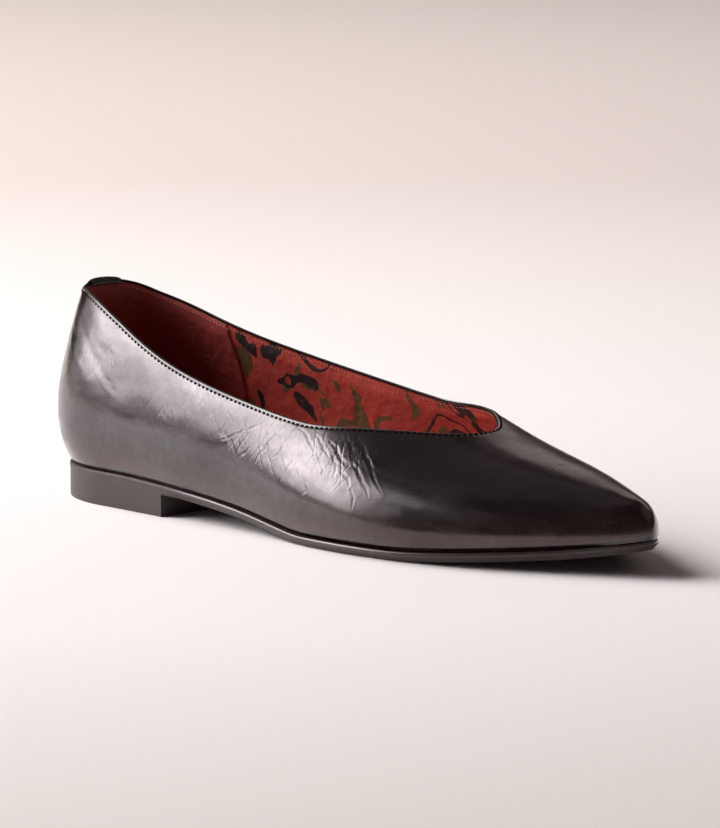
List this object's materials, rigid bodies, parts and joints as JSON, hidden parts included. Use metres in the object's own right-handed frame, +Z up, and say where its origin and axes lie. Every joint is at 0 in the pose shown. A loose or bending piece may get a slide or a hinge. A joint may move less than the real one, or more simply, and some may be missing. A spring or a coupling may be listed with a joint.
{
  "type": "pointed toe flat shoe",
  "caption": "Women's pointed toe flat in polished black leather with a low cut rounded throat, red lining, thin sole and low block heel, right foot.",
  "frame": {"origin": "middle of the heel's rest face, on the floor", "axes": "+X from heel to toe, +Y to the inner side of the foot, +Z up"},
  "size_m": [0.2608, 0.0847, 0.07],
  "materials": {
    "upper_leather": "polished smooth black leather with creases",
    "bead_leather": "polished black leather bead",
    "lining": "matt red leather lining",
    "sole": "satin black sole edge",
    "heel_block": "satin dark grey heel block"
  },
  "bodies": {
    "root": {"outsole": "sole", "heel": "heel_block", "insole": "lining", "upper": "upper_leather", "topline_bead": "bead_leather", "backstay": "upper_leather"}
  },
  "joints": []
}
